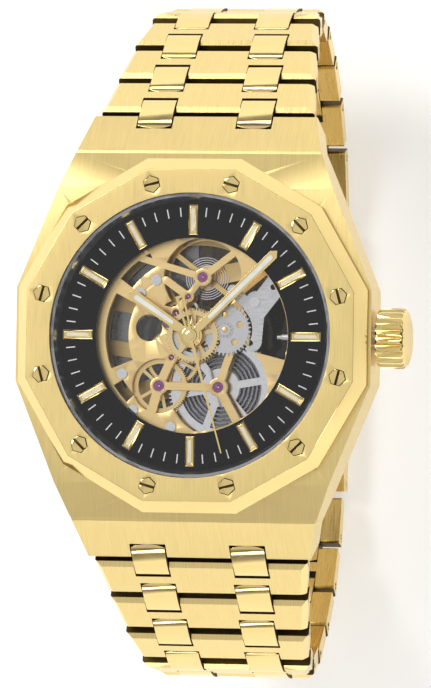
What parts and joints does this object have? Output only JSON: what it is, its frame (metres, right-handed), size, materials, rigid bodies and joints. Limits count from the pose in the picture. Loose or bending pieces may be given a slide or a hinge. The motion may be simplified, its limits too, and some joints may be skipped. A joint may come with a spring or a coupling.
{
  "type": "wristwatch",
  "caption": "Gold skeleton wristwatch: twelve-sided screwed bezel, open-worked movement behind a black dial ring, baton markers, fluted crown, tapered link bracelet on a folding clasp.",
  "frame": {"origin": "centre of the clasp cover's flat underside, straight below the hand axis", "axes": "+Z out of the dial, +Y towards 12 o'clock, +X towards the crown"},
  "size_m": [0.0473, 0.0828, 0.0619],
  "materials": {
    "gold_polished": "polished yellow gold plating",
    "gold_brushed": "fine straight brushed gold",
    "gold_plate": "satin gold movement plate",
    "gold_wheel": "circular-grained gold wheels",
    "steel": "satin steel",
    "blued": "blued spring steel",
    "dial_black": "glossy black ring",
    "flange_grey": "matt dark grey",
    "jewel": "polished synthetic ruby",
    "gasket": "matt rubber",
    "crystal": "clear sapphire",
    "holder": "matt"
  },
  "bodies": {
    "case": {"case_middle": "gold_brushed", "bezel": "gold_polished", "bezel_gasket": "gasket", "bezel_screws": "gold_polished", "crystal": "crystal", "rehaut_ring": "flange_grey", "dial_ring": "dial_black", "hour_markers": "gold_polished", "case_back": "gold_polished", "case_back_window": "crystal", "movement_holder": "holder", "crown_tube": "steel", "mainplate": "gold_plate", "jewels": "jewel", "keyless_cover": "steel", "plate_screws": "steel", "train_bridge": "gold_plate", "balance_cock": "gold_plate", "end_link_12": "gold_brushed", "end_link_6": "gold_brushed"},
    "hour": {"hour_hand": "gold_polished", "hour_wheel": "gold_wheel"},
    "minute": {"minute_hand": "gold_polished", "cannon_pinion": "gold_wheel"},
    "seconds": {"seconds_hand": "gold_polished", "fourth_wheel": "gold_wheel"},
    "minute_works": {"minute_wheel": "gold_wheel"},
    "third": {"third_wheel": "gold_wheel"},
    "second": {"second_wheel": "gold_wheel"},
    "barrel": {"barrel": "steel", "mainspring": "blued"},
    "escape": {"escape_wheel": "gold_wheel"},
    "fork": {"pallet_fork": "steel"},
    "balance": {"balance_wheel": "gold_wheel", "hairspring": "blued"},
    "rotor": {"rotor": "gold_plate"},
    "crown_slide": {"crown_gasket": "gasket"},
    "crown": {"crown": "gold_polished", "winding_stem": "steel"},
    "band_12_1": {"link_12_1": "gold_brushed"},
    "band_12_2": {"link_12_2": "gold_brushed"},
    "band_12_3": {"link_12_3": "gold_brushed"},
    "band_12_4": {"link_12_4": "gold_brushed"},
    "band_12_5": {"link_12_5": "gold_brushed"},
    "band_12_6": {"link_12_6": "gold_brushed"},
    "band_12_7": {"link_12_7": "gold_brushed"},
    "band_12_8": {"link_12_8": "gold_brushed"},
    "band_12_9": {"link_12_9": "gold_brushed"},
    "band_6_1": {"link_6_1": "gold_brushed"},
    "band_6_2": {"link_6_2": "gold_brushed"},
    "band_6_3": {"link_6_3": "gold_brushed"},
    "band_6_4": {"link_6_4": "gold_brushed"},
    "band_6_5": {"link_6_5": "gold_brushed"},
    "band_6_6": {"link_6_6": "gold_brushed"},
    "band_6_7": {"link_6_7": "gold_brushed"},
    "band_6_8": {"link_6_8": "gold_brushed"},
    "band_6_9": {"link_6_9": "gold_brushed"},
    "clasp": {"clasp_cover": "gold_brushed"},
    "long_blade": {"clasp_long_blade": "gold_polished"},
    "short_blade": {"clasp_short_blade": "gold_polished"}
  },
  "joints": [
    {"name": "seconds_turn", "type": "hinge", "parent": "case", "child": "seconds", "pos_m": [0, 0, 0.057], "axis": [0, 0, -1], "continuous": true},
    {"name": "minute_turn", "type": "hinge", "parent": "case", "child": "minute", "pos_m": [0, 0, 0.057], "axis": [0, 0, -1], "continuous": true},
    {"name": "hour_turn", "type": "hinge", "parent": "case", "child": "hour", "pos_m": [0, 0, 0.057], "axis": [0, 0, -1], "continuous": true},
    {"name": "minute_works_turn", "type": "hinge", "parent": "case", "child": "minute_works", "pos_m": [0.0039, 0.00076, 0.057], "axis": [0, 0, -1], "continuous": true},
    {"name": "third_turn", "type": "hinge", "parent": "case", "child": "third", "pos_m": [-0.00265, -0.0026, 0.057], "axis": [0, 0, -1], "continuous": true},
    {"name": "second_turn", "type": "hinge", "parent": "case", "child": "second", "pos_m": [-0.00412, -0.00601, 0.057], "axis": [0, 0, -1], "continuous": true},
    {"name": "barrel_turn", "type": "hinge", "parent": "case", "child": "barrel", "pos_m": [0.00305, -0.0061, 0.057], "axis": [0, 0, -1], "continuous": true},
    {"name": "escape_turn", "type": "hinge", "parent": "case", "child": "escape", "pos_m": [-0.0022, 0.00272, 0.057], "axis": [0, 0, -1], "continuous": true},
    {"name": "fork_rock", "type": "hinge", "parent": "case", "child": "fork", "pos_m": [-0.00073, 0.00468, 0.057], "axis": [0, 0, -1], "range_deg": [-5, 5]},
    {"name": "balance_swing", "type": "hinge", "parent": "case", "child": "balance", "pos_m": [0.001, 0.007, 0.057], "axis": [0, 0, -1], "range_deg": [-80, 80]},
    {"name": "rotor_turn", "type": "hinge", "parent": "case", "child": "rotor", "pos_m": [0, 0, 0.054], "axis": [0, 0, -1], "continuous": true},
    {"name": "crown_pull", "type": "slide", "parent": "case", "child": "crown_slide", "axis": [1, 0, 0], "range_m": [0, 0.0011]},
    {"name": "crown_turn", "type": "hinge", "parent": "crown_slide", "child": "crown", "pos_m": [0.022, 0, 0.0561], "axis": [1, 0, 0], "continuous": true},
    {"name": "band_12_bend_1", "type": "hinge", "parent": "case", "child": "band_12_1", "pos_m": [0, 0.0269, 0.0504], "axis": [1, 0, 0], "range_deg": [0, 8]},
    {"name": "band_12_bend_2", "type": "hinge", "parent": "band_12_1", "child": "band_12_2", "pos_m": [0, 0.03127, 0.04481], "axis": [1, 0, 0], "range_deg": [0, 5.5]},
    {"name": "band_12_bend_3", "type": "hinge", "parent": "band_12_2", "child": "band_12_3", "pos_m": [0, 0.03549, 0.0391], "axis": [1, 0, 0], "range_deg": [0, 12.5]},
    {"name": "band_12_bend_4", "type": "hinge", "parent": "band_12_3", "child": "band_12_4", "pos_m": [0, 0.03883, 0.03283], "axis": [1, 0, 0], "range_deg": [0, 24]},
    {"name": "band_12_bend_5", "type": "hinge", "parent": "band_12_4", "child": "band_12_5", "pos_m": [0, 0.03982, 0.0258], "axis": [1, 0, 0], "range_deg": [0, 23]},
    {"name": "band_12_bend_6", "type": "hinge", "parent": "band_12_5", "child": "band_12_6", "pos_m": [0, 0.03846, 0.01883], "axis": [1, 0, 0], "range_deg": [0, 21]},
    {"name": "band_12_bend_7", "type": "hinge", "parent": "band_12_6", "child": "band_12_7", "pos_m": [0, 0.03513, 0.01256], "axis": [1, 0, 0], "range_deg": [0, 20]},
    {"name": "band_12_bend_8", "type": "hinge", "parent": "band_12_7", "child": "band_12_8", "pos_m": [0, 0.0302, 0.00745], "axis": [1, 0, 0], "range_deg": [0, 19]},
    {"name": "band_12_bend_9", "type": "hinge", "parent": "band_12_8", "child": "band_12_9", "pos_m": [0, 0.02411, 0.0038], "axis": [1, 0, 0], "range_deg": [0, 20]},
    {"name": "band_6_bend_1", "type": "hinge", "parent": "case", "child": "band_6_1", "pos_m": [0, -0.0269, 0.0504], "axis": [-1, 0, 0], "range_deg": [0, 8]},
    {"name": "band_6_bend_2", "type": "hinge", "parent": "band_6_1", "child": "band_6_2", "pos_m": [0, -0.03127, 0.04481], "axis": [-1, 0, 0], "range_deg": [0, 5.5]},
    {"name": "band_6_bend_3", "type": "hinge", "parent": "band_6_2", "child": "band_6_3", "pos_m": [0, -0.03549, 0.0391], "axis": [-1, 0, 0], "range_deg": [0, 12.5]},
    {"name": "band_6_bend_4", "type": "hinge", "parent": "band_6_3", "child": "band_6_4", "pos_m": [0, -0.03883, 0.03283], "axis": [-1, 0, 0], "range_deg": [0, 24]},
    {"name": "band_6_bend_5", "type": "hinge", "parent": "band_6_4", "child": "band_6_5", "pos_m": [0, -0.03982, 0.0258], "axis": [-1, 0, 0], "range_deg": [0, 23]},
    {"name": "band_6_bend_6", "type": "hinge", "parent": "band_6_5", "child": "band_6_6", "pos_m": [0, -0.03846, 0.01883], "axis": [-1, 0, 0], "range_deg": [0, 21]},
    {"name": "band_6_bend_7", "type": "hinge", "parent": "band_6_6", "child": "band_6_7", "pos_m": [0, -0.03513, 0.01256], "axis": [-1, 0, 0], "range_deg": [0, 20]},
    {"name": "band_6_bend_8", "type": "hinge", "parent": "band_6_7", "child": "band_6_8", "pos_m": [0, -0.0302, 0.00745], "axis": [-1, 0, 0], "range_deg": [0, 19]},
    {"name": "band_6_bend_9", "type": "hinge", "parent": "band_6_8", "child": "band_6_9", "pos_m": [0, -0.02411, 0.0038], "axis": [-1, 0, 0], "range_deg": [0, 20]},
    {"name": "clasp_bend", "type": "hinge", "parent": "band_6_9", "child": "clasp", "pos_m": [0, -0.01725, 0.00196], "axis": [-1, 0, 0], "range_deg": [0, 19]},
    {"name": "long_blade_open", "type": "hinge", "parent": "clasp", "child": "long_blade", "pos_m": [0, 0.0134, 0.0022], "axis": [-1, 0, 0], "range_deg": [0, 60]},
    {"name": "short_blade_open", "type": "hinge", "parent": "long_blade", "child": "short_blade", "pos_m": [0, -0.0126, 0.0032], "axis": [1, 0, 0], "range_deg": [0, 80]}
  ],
  "couplings": [
    {"joint": "third_turn", "follows": "seconds_turn", "ratio": -0.125},
    {"joint": "minute_turn", "follows": "seconds_turn", "ratio": 0.016667},
    {"joint": "second_turn", "follows": "seconds_turn", "ratio": 0.016667},
    {"joint": "barrel_turn", "follows": "seconds_turn", "ratio": -0.002381},
    {"joint": "minute_works_turn", "follows": "seconds_turn", "ratio": -0.0055556},
    {"joint": "hour_turn", "follows": "seconds_turn", "ratio": 0.0013889},
    {"joint": "escape_turn", "follows": "seconds_turn", "ratio": -12}
  ]
}
